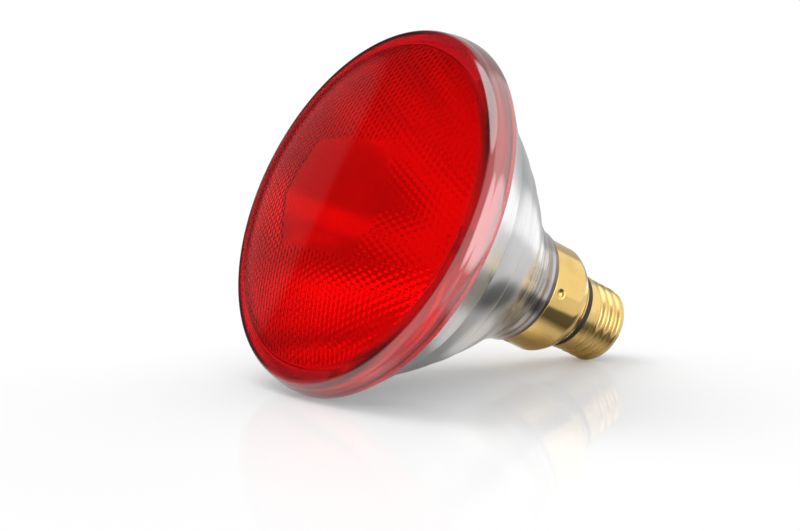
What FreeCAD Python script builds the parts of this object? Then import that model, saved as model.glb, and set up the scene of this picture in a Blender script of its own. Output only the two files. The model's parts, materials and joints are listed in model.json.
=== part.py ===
import FreeCAD, Part
import math
import os
import Sketcher

# Infrared heat lamp with a red glass lens, a stepped glass reflector and a screw cap, in millimetres.
# Each piece is drawn about the lamp axis with the contact face at height zero and the lens on top.
# One placement, shared by all pieces, lays the lamp down on its seam and on the crest of its screw shell.

Vector = FreeCAD.Vector

sizes = {
    # lens
    "lens_diameter": 122.0,
    "rim_diameter": 120.2,
    "rim_round": 4.2,
    "rim_depth": 8.7,
    "dome_height": 12.0,
    "lens_wall": 4.2,
    "stipple_diameter": 106.0,
    # reflector
    "bowl_focus": 13.5,
    "bowl_vertex_depth": 60.8,
    "bowl_wall": 4.6,
    "mouth_wall": 5.9,
    "mouth_lip": 0.5,
    "heel_wall": 1.5,
    "mirror_flat_diameter": 26.0,
    "mirror_low_diameter": 50.0,
    "mirror_high_diameter": 84.0,
    "first_ring_depth": 13.5,
    "second_ring_depth": 25.6,
    "third_ring_depth": 32.3,
    "fourth_ring_depth": 43.9,
    "fifth_ring_depth": 50.0,
    "sixth_ring_depth": 55.4,
    "fifth_ring_diameter": 51.0,
    "sixth_ring_diameter": 44.8,
    "ring_step": 0.6,
    "ring_bulge": 75.0,
    "neck_diameter": 42.2,
    "neck_bottom_diameter": 39.8,
    "floor_wall": 3.0,
    "floor_raise": 4.0,
    "neck_insert": 10.0,
    "neck_ring_wall": 4.0,
    "neck_gap": 0.4,
    # brass skirt
    "skirt_diameter": 37.4,
    "skirt_sheet": 0.5,
    "skirt_length": 13.4,
    "lip_height": 0.9,
    "lip_flare": 0.6,
    "shoulder_height": 6.6,
    "shoulder_round": 14.0,
    "skirt_end_diameter": 28.0,
    "skirt_end_length": 0.6,
    "skirt_clearance": 0.2,
    "dimple_count": 4,
    "dimple_offset": 3.7,
    "dimple_diameter": 3.6,
    "dimple_depth": 0.9,
    "dimple_margin": 0.7,
    # black ring between skirt and shell
    "ring_diameter": 27.4,
    "ring_width": 2.4,
    "ring_bore": 20.0,
    "ring_skirt_spigot": 2.6,
    "ring_shell_spigot": 3.2,
    # screw shell
    "crest_diameter": 26.3,
    "shell_length": 17.2,
    "shell_sheet": 0.35,
    "shell_end_round": 1.0,
    "collar_length": 3.6,
    "collar_swell": 0.2,
    "thread_pitch": 3.63,
    "thread_depth": 0.9,
    "thread_land": 0.45,
    "crest_offset": 1.2,
    # cap insulator and contact
    "insulator_depth": 5.5,
    "insulator_rise": 4.4,
    "insulator_nose_diameter": 12.4,
    "contact_diameter": 9.6,
    "contact_height": 1.6,
    "contact_round": 0.7,
    "contact_stem_diameter": 1.5,
    "contact_stem_length": 2.4,
    # filament mount
    "filament_ring_diameter": 18.0,
    "coil_diameter": 1.5,
    "post_diameter": 1.2,
    "bridge_diameter": 3.4,
    "bridge_overhang": 2.4,
    "bridge_drop": 7.0,
    "support_diameter": 0.5,
    "support_start": 1.1,
    "support_rise": 3.6,
    "support_spread": 50.0,
    # ferrules, exhaust tube and cap wires
    "ferrule_diameter": 4.6,
    "ferrule_wall": 0.4,
    "ferrule_length": 5.0,
    "ferrule_flange_diameter": 7.0,
    "ferrule_bottom": 0.6,
    "exhaust_diameter": 5.0,
    "exhaust_bore": 2.6,
    "exhaust_length": 8.0,
    "wire_diameter": 0.7,
    "wire_drop": 3.0,
    "fit_clearance": 0.05,
    "cut_overshoot": 0.3,
}

# Heights above the contact face and other values that follow from the sizes.
derived = {
    "shell_end": "=size.contact_height + size.insulator_rise",
    "shell_top": "=shell_end + size.shell_length",
    "skirt_end": "=shell_top + size.ring_width",
    "shoulder_low": "=skirt_end + size.skirt_end_length",
    "shoulder_high": "=shoulder_low + size.shoulder_height",
    "skirt_edge": "=shoulder_high + size.skirt_length",
    "neck_low": "=skirt_edge + size.neck_gap",
    "floor_back": "=neck_low + size.floor_raise",
    "floor_inside": "=floor_back + size.floor_wall",
    "bowl_foot": "=floor_inside - size.bowl_wall",
    "seam": "=bowl_foot + size.bowl_vertex_depth",
    "rim_front": "=seam + size.rim_depth",
    "apex": "=rim_front + size.dome_height",
    "rim_middle": "=rim_front - size.rim_round",
    "rim_middle_radius": "=size.rim_diameter / 2 - size.rim_round",
    "rim_to_apex": "=size.rim_round + size.dome_height",
    "dome_radius": "=(rim_middle_radius ^ 2 + rim_to_apex ^ 2 - size.rim_round ^ 2) / (2 * size.dome_height)",
    "dome_edge_share": "=size.rim_round / (dome_radius - size.rim_round)",
    "dome_edge_radius": "=rim_middle_radius * (1 + dome_edge_share)",
    "dome_edge": "=rim_middle + (rim_middle - apex + dome_radius) * dome_edge_share",
    "inner_dome_radius": "=dome_radius - size.lens_wall",
    "stipple_edge": "=apex - dome_radius + sqrt(inner_dome_radius ^ 2 - (size.stipple_diameter / 2) ^ 2)",
    "mouth_radius": "=size.lens_diameter / 2 - size.mouth_wall",
    "mouth_reach": "=floor_inside + mouth_radius ^ 2 / (4 * size.bowl_focus)",
    "mirror_top": "=min(seam - size.mouth_lip; mouth_reach)",
    "mirror_top_radius": "=sqrt(4 * size.bowl_focus * (mirror_top - floor_inside))",
    "mirror_flat": "=floor_inside + size.mirror_flat_diameter ^ 2 / (16 * size.bowl_focus)",
    "mirror_low": "=floor_inside + size.mirror_low_diameter ^ 2 / (16 * size.bowl_focus)",
    "mirror_high": "=floor_inside + size.mirror_high_diameter ^ 2 / (16 * size.bowl_focus)",
    "low_slope": "=(size.mirror_flat_diameter + size.mirror_low_diameter) / (8 * size.bowl_focus)",
    "middle_slope": "=(size.mirror_low_diameter + size.mirror_high_diameter) / (8 * size.bowl_focus)",
    "high_slope": "=(size.mirror_high_diameter + 2 * mirror_top_radius) / (8 * size.bowl_focus)",
    "mirror_low_bend": "=2 * size.bowl_focus * (1 + low_slope ^ 2) ^ 1.5",
    "mirror_middle_bend": "=2 * size.bowl_focus * (1 + middle_slope ^ 2) ^ 1.5",
    "mirror_high_bend": "=2 * size.bowl_focus * (1 + high_slope ^ 2) ^ 1.5",
    "first_ring": "=seam - size.first_ring_depth",
    "first_ring_radius": "=sqrt(4 * size.bowl_focus * (first_ring - bowl_foot))",
    "second_ring": "=seam - size.second_ring_depth",
    "second_ring_radius": "=sqrt(4 * size.bowl_focus * (second_ring - bowl_foot))",
    "third_ring": "=seam - size.third_ring_depth",
    "third_ring_radius": "=sqrt(4 * size.bowl_focus * (third_ring - bowl_foot))",
    "fourth_ring": "=seam - size.fourth_ring_depth",
    "fourth_ring_radius": "=sqrt(4 * size.bowl_focus * (fourth_ring - bowl_foot))",
    "fifth_ring": "=seam - size.fifth_ring_depth",
    "fifth_mirror": "=sqrt(4 * size.bowl_focus * max(0; fifth_ring - floor_inside))",
    "fifth_ring_radius": "=max(size.fifth_ring_diameter / 2; fifth_mirror + size.heel_wall + size.ring_step)",
    "sixth_ring": "=max(seam - size.sixth_ring_depth; neck_low + size.ring_step)",
    "sixth_mirror": "=sqrt(4 * size.bowl_focus * max(0; sixth_ring - floor_inside))",
    "neck_top_radius": "=max(size.neck_diameter / 2; sixth_mirror + size.heel_wall)",
    "sixth_ring_radius": "=max(size.sixth_ring_diameter / 2; neck_top_radius + size.ring_step)",
    "post_offset": "=size.filament_ring_diameter / 2",
    "insert_radius": "=size.skirt_diameter / 2 - size.skirt_sheet - size.skirt_clearance",
    "ferrule_reach": "=post_offset + size.ferrule_flange_diameter / 2 + size.fit_clearance",
    "insert_bore": "=max(insert_radius - size.neck_ring_wall; ferrule_reach)",
    "insert_end": "=skirt_edge - size.neck_insert",
    "dimple_height": "=skirt_edge - size.dimple_offset",
    "dimple_sphere": "=(size.dimple_diameter ^ 2 / 4 + size.dimple_depth ^ 2) / (2 * size.dimple_depth)",
    "dimple_middle": "=size.skirt_diameter / 2 - size.dimple_depth + dimple_sphere",
    "sheet_middle": "=size.skirt_diameter / 2 - size.skirt_sheet / 2",
    "bump_half": "=sqrt((dimple_sphere + size.skirt_sheet) ^ 2 - (dimple_middle - sheet_middle) ^ 2)",
    "hollow_outside": "=size.skirt_diameter / 2 + size.cut_overshoot",
    "hollow_half": "=sqrt(dimple_sphere ^ 2 - (dimple_middle - hollow_outside) ^ 2)",
    "groove_radius": "=insert_radius - size.dimple_depth - size.skirt_clearance",
    "groove_half": "=size.dimple_diameter / 2 + size.dimple_margin",
    "wire_reach": "=post_offset + size.wire_diameter / 2 + size.fit_clearance",
    "ring_bore_radius": "=max(size.ring_bore / 2; wire_reach)",
    "collar_radius": "=size.crest_diameter / 2 + size.collar_swell",
    "shell_bore": "=size.crest_diameter / 2 - size.thread_depth - size.shell_sheet",
    "thread_start": "=shell_end + size.crest_offset - size.thread_pitch",
    "thread_end": "=shell_top - size.collar_length / 2",
    "thread_half": "=(size.thread_pitch - size.thread_land) / 2",
    "thread_bulge": "=(thread_half ^ 2 + size.thread_depth ^ 2) / (2 * size.thread_depth)",
    "filament_height": "=floor_inside + size.bowl_focus",
    "post_foot": "=floor_back - size.ferrule_length + size.ferrule_bottom",
    "ferrule_foot": "=floor_back - size.ferrule_length",
    "coil_under": "=filament_height - size.coil_diameter / 2",
    "bridge_height": "=filament_height - size.bridge_drop",
    "bridge_half": "=post_offset + size.bridge_overhang",
    "hook_height": "=coil_under - size.support_diameter / 2 - size.fit_clearance",
    "wire_bend": "=ferrule_foot - size.wire_drop",
    "stem_top": "=size.contact_height + size.contact_stem_length",
    "insulator_top": "=shell_end + size.insulator_depth",
    "shell_wire_end_radius": "=shell_bore - size.wire_diameter / 2 - 2 * size.fit_clearance",
    "shell_wire_low": "=insulator_top + size.wire_diameter",
    "shell_wire_bend": "=shell_top - size.ring_shell_spigot - size.wire_diameter",
    "lie_run": "=seam - shell_end - size.crest_offset",
    "lie_angle": "=atan((size.lens_diameter - size.crest_diameter) / (2 * lie_run))",
    "lie_turn": "=lie_angle - 90 deg",
    "back_reach": "=(size.contact_diameter / 2 - size.contact_round) * sin(lie_angle)"
                  " + size.contact_round * (1 - cos(lie_angle))",
    "front_reach": "=rim_middle * cos(lie_angle) + rim_middle_radius * sin(lie_angle) + size.rim_round",
    "lie_shift": "=(front_reach - back_reach) / 2",
    "lie_lift": "=size.lens_diameter / 2 * cos(lie_angle) - seam * sin(lie_angle)",
}

doc = FreeCAD.newDocument("heat_lamp")

sizeSheet = doc.addObject("Spreadsheet::Sheet", "size")
for row, (name, value) in enumerate(sizes.items(), start=1):
    sizeSheet.set(f"A{row}", name)
    sizeSheet.set(f"B{row}", str(value))
    sizeSheet.setAlias(f"B{row}", name)
doc.recompute()

derivedSheet = doc.addObject("Spreadsheet::Sheet", "at")
for row, (name, formula) in enumerate(derived.items(), start=1):
    derivedSheet.set(f"A{row}", name)
    derivedSheet.setAlias(f"B{row}", name)
    derivedSheet.set(f"B{row}", formula)
doc.recompute()


def number(expression):
    result = derivedSheet.evalExpression(expression)
    return float(getattr(result, "Value", result))


def plane(body, role):
    return [feature for feature in body.Origin.OriginFeatures if feature.Role == role][0]


def new_body(label):
    body = doc.addObject("PartDesign::Body", label)
    body.Label = label
    return body


def new_sketch(body, name, role="XZ_Plane"):
    sketch = body.newObject("Sketcher::SketchObject", name)
    sketch.AttachmentSupport = [(plane(body, role), "")]
    sketch.MapMode = "FlatFace"
    doc.recompute()
    return sketch


def pin_point(sketch, edge, end, across, along):
    # Ties one end of an edge to its distance from the axis and its height.
    for kind, expression, axis in (("DistanceX", across, -2), ("DistanceY", along, -1)):
        value = number(expression)
        if value == 0:
            sketch.addConstraint(Sketcher.Constraint("PointOnObject", edge, end, axis))
            continue
        index = sketch.addConstraint(Sketcher.Constraint(kind, -1, 1, edge, end, value))
        sketch.setExpression(f"Constraints[{index}]", expression)


def arc_between(start, finish, radius, turn):
    chord = finish - start
    side = Vector(-chord.y, chord.x, 0).normalize() * turn
    half = chord.Length / 2
    sagitta = radius - math.sqrt(radius ** 2 - half ** 2)
    return Part.Arc(start, (start + finish) / 2 + side * sagitta, finish)


def trace(sketch, corners, closed=True):
    # Draws straight and round edges through corners given as (across, along) or
    # (across, along, radius, turn), where the edge to the next corner is an arc that
    # swells to the left (turn 1) or to the right (turn -1) of the way it is drawn.
    points = [Vector(number(corner[0]), number(corner[1]), 0) for corner in corners]
    total = len(corners)
    edges = []
    for place in range(total if closed else total - 1):
        corner = corners[place]
        start = points[place]
        finish = points[(place + 1) % total]
        if len(corner) == 2:
            edge = sketch.addGeometry(Part.LineSegment(start, finish))
        else:
            edge = sketch.addGeometry(arc_between(start, finish, number(corner[2]), corner[3]))
        first = 1 if (sketch.getPoint(edge, 1) - start).Length < 1e-6 else 2
        edges.append((edge, first))
    for place, (edge, first) in enumerate(edges):
        pin_point(sketch, edge, first, corners[place][0], corners[place][1])
        if len(corners[place]) > 2:
            index = sketch.addConstraint(Sketcher.Constraint("Radius", edge, number(corners[place][2])))
            sketch.setExpression(f"Constraints[{index}]", corners[place][2])
        if closed or place + 1 < len(edges):
            following, followingFirst = edges[(place + 1) % len(edges)]
            joint = Sketcher.Constraint("Coincident", edge, 3 - first, following, followingFirst)
            sketch.addConstraint(joint)
        else:
            pin_point(sketch, edge, 3 - first, corners[place + 1][0], corners[place + 1][1])
    doc.recompute()
    return edges


def ring_sketch(sketch, across, along, diameter):
    # A circle with its middle tied to the given place on the sketch plane.
    middle = Vector(number(across), number(along), 0)
    circle = sketch.addGeometry(Part.Circle(middle, Vector(0, 0, 1), number(diameter) / 2))
    index = sketch.addConstraint(Sketcher.Constraint("Diameter", circle, number(diameter)))
    sketch.setExpression(f"Constraints[{index}]", diameter)
    pin_point(sketch, circle, 3, across, along)
    doc.recompute()


def turn_about_axis(body, name, sketch, kind="Revolution"):
    turned = body.newObject("PartDesign::" + kind, name)
    turned.Profile = sketch
    turned.ReferenceAxis = (sketch, ["V_Axis"])
    turned.Angle = 360
    doc.recompute()
    return turned


def turned_body(label, corners):
    body = new_body(label)
    outline = new_sketch(body, label + "_outline")
    trace(outline, corners)
    turn_about_axis(body, label + "_turned", outline)
    return body


def swept_body(label, role, corners, diameter, spread="0"):
    # Round wire along a bent line drawn on a plane through the lamp axis, turned by the spread angle.
    body = new_body(label)
    spine = new_sketch(body, label + "_spine", role)
    spine.setExpression("AttachmentOffset.Rotation.Axis.y", "1")
    spine.setExpression("AttachmentOffset.Rotation.Axis.z", "0")
    spine.setExpression("AttachmentOffset.Rotation.Angle", spread)
    trace(spine, corners, closed=False)
    section = body.newObject("Sketcher::SketchObject", label + "_section")
    section.AttachmentSupport = [(spine, "Edge1")]
    section.MapMode = "NormalToEdge"
    section.MapPathParameter = 0
    doc.recompute()
    circle = section.addGeometry(Part.Circle(Vector(0, 0, 0), Vector(0, 0, 1), number(diameter) / 2))
    section.addConstraint(Sketcher.Constraint("Coincident", circle, 3, -1, 1))
    index = section.addConstraint(Sketcher.Constraint("Diameter", circle, number(diameter)))
    section.setExpression(f"Constraints[{index}]", diameter)
    pipe = body.newObject("PartDesign::AdditivePipe", label + "_pipe")
    pipe.Profile = section
    pipe.Spine = spine
    pipe.Transition = "Round corner"
    doc.recompute()
    return body


def mid_radius(diameter):
    return f"size.{diameter} / 2"


# Lens: domed front run into a rounded rim, drafted side wall, seam face, inner face parallel to the dome.
lens = turned_body("lens", [
    ("0", "at.apex - size.lens_wall"),
    ("0", "at.apex", "at.dome_radius", 1),
    ("at.dome_edge_radius", "at.dome_edge", "size.rim_round", 1),
    (mid_radius("rim_diameter"), "at.rim_middle"),
    (mid_radius("lens_diameter"), "at.seam"),
    ("size.lens_diameter / 2 - size.lens_wall", "at.seam"),
    (mid_radius("stipple_diameter"), "at.stipple_edge", "at.inner_dome_radius", -1),
])

# Reflector: stepped rings outside on one paraboloid, thick heel, neck and a ring under the skirt with
# a groove for the staking dimples. The mirrored inside is a paraboloid about the filament, drawn in
# three arcs with its own bend, flat round its vertex and with a plain lip at the seam.
reflector = new_body("reflector")
bowlOutline = new_sketch(reflector, "bowl_outline")
bulge = "size.ring_bulge"
trace(bowlOutline, [
    (mid_radius("lens_diameter"), "at.seam"),
    ("at.first_ring_radius", "at.first_ring"),
    ("at.first_ring_radius - size.ring_step", "at.first_ring", bulge, 1),
    ("at.second_ring_radius", "at.second_ring"),
    ("at.second_ring_radius - size.ring_step", "at.second_ring", bulge, 1),
    ("at.third_ring_radius", "at.third_ring"),
    ("at.third_ring_radius - size.ring_step", "at.third_ring", bulge, 1),
    ("at.fourth_ring_radius", "at.fourth_ring"),
    ("at.fourth_ring_radius - size.ring_step", "at.fourth_ring"),
    ("at.fifth_ring_radius", "at.fifth_ring"),
    ("at.fifth_ring_radius - size.ring_step", "at.fifth_ring"),
    ("at.sixth_ring_radius", "at.sixth_ring"),
    ("at.neck_top_radius", "at.sixth_ring"),
    (mid_radius("neck_bottom_diameter"), "at.neck_low"),
    ("at.insert_radius", "at.neck_low"),
    ("at.insert_radius", "at.dimple_height + at.groove_half"),
    ("at.groove_radius", "at.dimple_height + at.groove_half"),
    ("at.groove_radius", "at.dimple_height - at.groove_half"),
    ("at.insert_radius", "at.dimple_height - at.groove_half"),
    ("at.insert_radius", "at.insert_end"),
    ("at.insert_bore", "at.insert_end"),
    ("at.insert_bore", "at.floor_back"),
    ("0", "at.floor_back"),
    ("0", "at.mirror_flat"),
    (mid_radius("mirror_flat_diameter"), "at.mirror_flat", "at.mirror_low_bend", -1),
    (mid_radius("mirror_low_diameter"), "at.mirror_low", "at.mirror_middle_bend", -1),
    (mid_radius("mirror_high_diameter"), "at.mirror_high", "at.mirror_high_bend", -1),
    ("at.mirror_top_radius", "at.mirror_top"),
    ("at.mouth_radius", "at.seam"),
])
turn_about_axis(reflector, "bowl_turned", bowlOutline)

# Holes in the floor for the two ferrules and the exhaust tube.
floorHoles = new_sketch(reflector, "floor_holes", "XY_Plane")
ring_sketch(floorHoles, "0", "at.post_offset", "size.ferrule_diameter - 2 * size.ferrule_wall")
ring_sketch(floorHoles, "0", "-at.post_offset", "size.ferrule_diameter - 2 * size.ferrule_wall")
ring_sketch(floorHoles, "0", "0", "size.exhaust_bore")
floorCut = reflector.newObject("PartDesign::Pocket", "floor_cut")
floorCut.Profile = floorHoles
floorCut.Reversed = True
floorCut.Type = "Length"
floorCut.setExpression("Length", "at.filament_height")
doc.recompute()

# Skirt: thin drawn sleeve with a flared lip, a rounded shoulder and a short end tube.
skirt = new_body("skirt")
skirtOutline = new_sketch(skirt, "skirt_outline")
skirtRadius = mid_radius("skirt_diameter")
trace(skirtOutline, [
    (skirtRadius + " + size.lip_flare", "at.skirt_edge"),
    (skirtRadius + " + size.lip_flare", "at.skirt_edge - size.lip_height / 2"),
    (skirtRadius, "at.skirt_edge - size.lip_height"),
    (skirtRadius, "at.shoulder_high", "size.shoulder_round", 1),
    (mid_radius("skirt_end_diameter"), "at.shoulder_low"),
    (mid_radius("skirt_end_diameter"), "at.skirt_end"),
    ("size.skirt_end_diameter / 2 - size.skirt_sheet", "at.skirt_end"),
    ("size.skirt_end_diameter / 2 - size.skirt_sheet", "at.shoulder_low", "size.shoulder_round", -1),
    (skirtRadius + " - size.skirt_sheet", "at.shoulder_high"),
    (skirtRadius + " - size.skirt_sheet", "at.skirt_edge"),
])
turn_about_axis(skirt, "skirt_turned", skirtOutline)

# Staking dimples: a round bump inside and a round hollow outside, repeated about the axis.
bumpOutline = new_sketch(skirt, "bump_outline")
bumpSphere = "at.dimple_sphere + size.skirt_sheet"
bumpEdges = trace(bumpOutline, [
    ("at.dimple_middle - at.dimple_sphere - size.skirt_sheet", "at.dimple_height", bumpSphere, 1),
    ("at.sheet_middle", "at.dimple_height + at.bump_half"),
    ("at.sheet_middle", "at.dimple_height"),
])
bump = skirt.newObject("PartDesign::Revolution", "bump")
bump.Profile = bumpOutline
bump.ReferenceAxis = (bumpOutline, [f"Edge{bumpEdges[2][0] + 1}"])
bump.Angle = 360
doc.recompute()
hollowOutline = new_sketch(skirt, "hollow_outline")
hollowEdges = trace(hollowOutline, [
    ("at.dimple_middle - at.dimple_sphere", "at.dimple_height", "at.dimple_sphere", 1),
    ("at.hollow_outside", "at.dimple_height + at.hollow_half"),
    ("at.hollow_outside", "at.dimple_height"),
])
hollow = skirt.newObject("PartDesign::Groove", "hollow")
hollow.Profile = hollowOutline
hollow.ReferenceAxis = (hollowOutline, [f"Edge{hollowEdges[2][0] + 1}"])
hollow.Angle = 360
doc.recompute()
dimples = skirt.newObject("PartDesign::PolarPattern", "dimples")
dimples.Originals = [bump, hollow]
dimples.Axis = (skirtOutline, ["V_Axis"])
dimples.Angle = 360
dimples.setExpression("Occurrences", "size.dimple_count")
skirt.Tip = dimples
doc.recompute()

# Insulating ring: a collar seen between skirt and shell, with a spigot into each of them.
skirtSpigot = "size.skirt_end_diameter / 2 - size.skirt_sheet - size.fit_clearance"
shellSpigot = "at.shell_bore - size.fit_clearance"
insulatingRing = turned_body("insulating_ring", [
    ("at.ring_bore_radius", "at.shell_top - size.ring_shell_spigot"),
    (shellSpigot, "at.shell_top - size.ring_shell_spigot"),
    (shellSpigot, "at.shell_top"),
    (mid_radius("ring_diameter"), "at.shell_top"),
    (mid_radius("ring_diameter"), "at.skirt_end"),
    (skirtSpigot, "at.skirt_end"),
    (skirtSpigot, "at.skirt_end + size.ring_skirt_spigot"),
    ("at.ring_bore_radius", "at.skirt_end + size.ring_skirt_spigot"),
])

# Screw shell: sleeve with a rounded end, a rolled right-hand groove and a plain collar over its run-out.
screwShell = new_body("screw_shell")
shellOutline = new_sketch(screwShell, "shell_outline")
crest = mid_radius("crest_diameter")
trace(shellOutline, [
    ("at.shell_bore", "at.shell_end"),
    ("at.shell_bore", "at.shell_top"),
    (crest, "at.shell_top"),
    (crest, "at.shell_end + size.shell_end_round", "size.shell_end_round", 1),
    (crest + " - size.shell_end_round", "at.shell_end"),
])
turn_about_axis(screwShell, "shell_turned", shellOutline)
grooveOutline = new_sketch(screwShell, "thread_outline")
overCrest = crest + " + size.cut_overshoot"
trace(grooveOutline, [
    (crest, "at.thread_start - at.thread_half", "at.thread_bulge", 1),
    (crest, "at.thread_start + at.thread_half"),
    (overCrest, "at.thread_start + at.thread_half"),
    (overCrest, "at.thread_start - at.thread_half"),
])
thread = screwShell.newObject("PartDesign::SubtractiveHelix", "thread")
thread.Profile = grooveOutline
thread.ReferenceAxis = (grooveOutline, ["V_Axis"])
thread.Mode = "pitch-height-angle"
thread.setExpression("Pitch", "size.thread_pitch")
thread.setExpression("Height", "at.thread_end - at.thread_start")
thread.LeftHanded = False
doc.recompute()
collarOutline = new_sketch(screwShell, "collar_outline")
trace(collarOutline, [
    ("at.shell_bore", "at.shell_top - size.collar_length"),
    ("at.shell_bore", "at.shell_top"),
    ("at.collar_radius", "at.shell_top"),
    ("at.collar_radius", "at.shell_top - size.collar_length"),
])
turn_about_axis(screwShell, "collar", collarOutline)

# Cap insulator: dark glass plug with a rounded cone outside the shell and a hole for the contact stem.
capInsulator = turned_body("cap_insulator", [
    ("size.contact_stem_diameter / 2 + size.fit_clearance", "size.contact_height"),
    ("size.contact_stem_diameter / 2 + size.fit_clearance", "at.insulator_top"),
    (shellSpigot, "at.insulator_top"),
    (shellSpigot, "at.shell_end", "size.crest_diameter", 1),
    (mid_radius("insulator_nose_diameter"), "size.contact_height"),
])

# Centre contact: disc with a rounded edge and a stem into the insulator.
stemRadius = mid_radius("contact_stem_diameter")
centreContact = turned_body("centre_contact", [
    ("0", "0"),
    ("0", "at.stem_top"),
    (stemRadius, "at.stem_top"),
    (stemRadius, "size.contact_height"),
    (mid_radius("contact_diameter"), "size.contact_height"),
    (mid_radius("contact_diameter"), "size.contact_round", "size.contact_round", 1),
    ("size.contact_diameter / 2 - size.contact_round", "0"),
])

# Exhaust tube: closed glass stub on the back of the reflector floor.
exhaustTube = turned_body("exhaust_tube", [
    (mid_radius("exhaust_bore"), "at.floor_back"),
    (mid_radius("exhaust_diameter"), "at.floor_back"),
    (mid_radius("exhaust_diameter"), "at.floor_back - size.exhaust_length + size.exhaust_diameter / 2",
     mid_radius("exhaust_diameter"), 1),
    ("0", "at.floor_back - size.exhaust_length"),
    ("0", "at.floor_back - size.exhaust_length + size.exhaust_bore / 2"),
    (mid_radius("exhaust_bore"), "at.floor_back - size.exhaust_length + size.exhaust_bore"),
])

# Filament: half ring of coiled wire around the focus, ending above the two posts.
filament = new_body("filament")
coilSection = new_sketch(filament, "coil_section")
ring_sketch(coilSection, "at.post_offset", "at.filament_height", "size.coil_diameter")
coil = turn_about_axis(filament, "coil", coilSection)
coil.Midplane = True
coil.Angle = 180
doc.recompute()

# Posts, ferrules and the glass bridge stand left and right of the axis.
mountPieces = []
for side, sign in (("left", "-"), ("right", "")):
    post = doc.addObject("Part::Cylinder", "lead_post_" + side)
    post.Label = "lead_post_" + side
    post.setExpression("Radius", "size.post_diameter / 2")
    post.setExpression("Height", "at.coil_under - at.post_foot")
    ferrule = new_body("ferrule_" + side)
    cup = new_sketch(ferrule, "cup_outline_" + side)
    ferruleRadius = mid_radius("ferrule_diameter")
    trace(cup, [
        ("0", "at.ferrule_foot"),
        ("0", "at.post_foot"),
        (ferruleRadius + " - size.ferrule_wall", "at.post_foot"),
        (ferruleRadius + " - size.ferrule_wall", "at.floor_back"),
        (mid_radius("ferrule_flange_diameter"), "at.floor_back"),
        (mid_radius("ferrule_flange_diameter"), "at.floor_back - size.ferrule_wall"),
        (ferruleRadius, "at.floor_back - size.ferrule_wall"),
        (ferruleRadius, "at.ferrule_foot"),
    ])
    turn_about_axis(ferrule, "cup_turned_" + side, cup)
    mountPieces.append((post, ferrule, sign))

bridge = new_body("filament_bridge")
bridgeOutline = new_sketch(bridge, "bridge_outline")
ring_sketch(bridgeOutline, "0", "at.bridge_height", "size.bridge_diameter")
bar = bridge.newObject("PartDesign::Pad", "bridge_bar")
bar.Profile = bridgeOutline
bar.setExpression("Length", "2 * at.bridge_half")
bar.Midplane = True
doc.recompute()
postHoles = new_sketch(bridge, "post_holes", "XY_Plane")
postHole = "size.post_diameter + 2 * size.fit_clearance"
ring_sketch(postHoles, "0", "at.post_offset", postHole)
ring_sketch(postHoles, "0", "-at.post_offset", postHole)
postCut = bridge.newObject("PartDesign::Pocket", "post_cut")
postCut.Profile = postHoles
postCut.Reversed = True
postCut.Type = "Length"
postCut.setExpression("Length", "at.filament_height")
doc.recompute()
socketSketch = new_sketch(bridge, "support_sockets", "XY_Plane")
socketSketch.setExpression("AttachmentOffset.Base.z", "at.bridge_height")
socketHole = "size.support_diameter + 2 * size.fit_clearance"
socketNear = "size.support_start * cos(size.support_spread * 1 deg)"
socketSide = "size.support_start * sin(size.support_spread * 1 deg)"
ring_sketch(socketSketch, "size.support_start", "0", socketHole)
ring_sketch(socketSketch, socketNear, socketSide, socketHole)
ring_sketch(socketSketch, socketNear, "-" + socketSide, socketHole)
socketCut = bridge.newObject("PartDesign::Pocket", "socket_cut")
socketCut.Profile = socketSketch
socketCut.Reversed = True
socketCut.Type = "Length"
socketCut.setExpression("Length", "size.bridge_diameter")
doc.recompute()

# Supports: three fine wires from sockets in the bridge out to the underside of the coil.
supportPath = [
    ("size.support_start", "at.bridge_height + size.fit_clearance"),
    ("size.support_start", "at.bridge_height + size.support_rise"),
    ("at.post_offset", "at.hook_height"),
]
supports = [
    swept_body("filament_support_middle", "XZ_Plane", supportPath, "size.support_diameter"),
    swept_body("filament_support_left", "XZ_Plane", supportPath, "size.support_diameter",
               "-size.support_spread * 1 deg"),
    swept_body("filament_support_right", "XZ_Plane", supportPath, "size.support_diameter",
               "size.support_spread * 1 deg"),
]

# Cap wires: one from the left ferrule to the contact stem, one from the right ferrule to the shell wall.
contactWire = swept_body("contact_wire", "YZ_Plane", [
    ("-at.post_offset", "at.ferrule_foot"),
    ("-at.post_offset", "at.wire_bend"),
    ("0", "at.insulator_top + size.wire_drop"),
    ("0", "at.stem_top"),
], "size.wire_diameter")
shellWire = swept_body("shell_wire", "YZ_Plane", [
    ("at.post_offset", "at.ferrule_foot"),
    ("at.post_offset", "at.shell_wire_bend"),
    ("at.shell_wire_end_radius", "at.shell_wire_low"),
], "size.wire_diameter")


def lay_down(piece, across="0", along="0"):
    # Turns the upright lamp over onto its seam; across and along first move a piece within the lamp.
    piece.setExpression("Placement.Rotation.Axis.x", "0")
    piece.setExpression("Placement.Rotation.Axis.y", "1")
    piece.setExpression("Placement.Rotation.Axis.z", "0")
    piece.setExpression("Placement.Rotation.Angle", "at.lie_turn")
    piece.setExpression("Placement.Base.x", f"at.lie_shift - ({along}) * cos(at.lie_angle)")
    piece.setExpression("Placement.Base.y", across)
    piece.setExpression("Placement.Base.z", f"at.lie_lift + ({along}) * sin(at.lie_angle)")


pieces = [lens, reflector, skirt, insulatingRing, screwShell, capInsulator, centreContact, exhaustTube]
pieces += [filament, bridge, contactWire, shellWire] + supports
for piece in pieces:
    lay_down(piece)
for post, ferrule, sign in mountPieces:
    lay_down(post, sign + "at.post_offset", "at.post_foot")
    lay_down(ferrule, sign + "at.post_offset")
    pieces += [post, ferrule]
doc.recompute()

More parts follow.
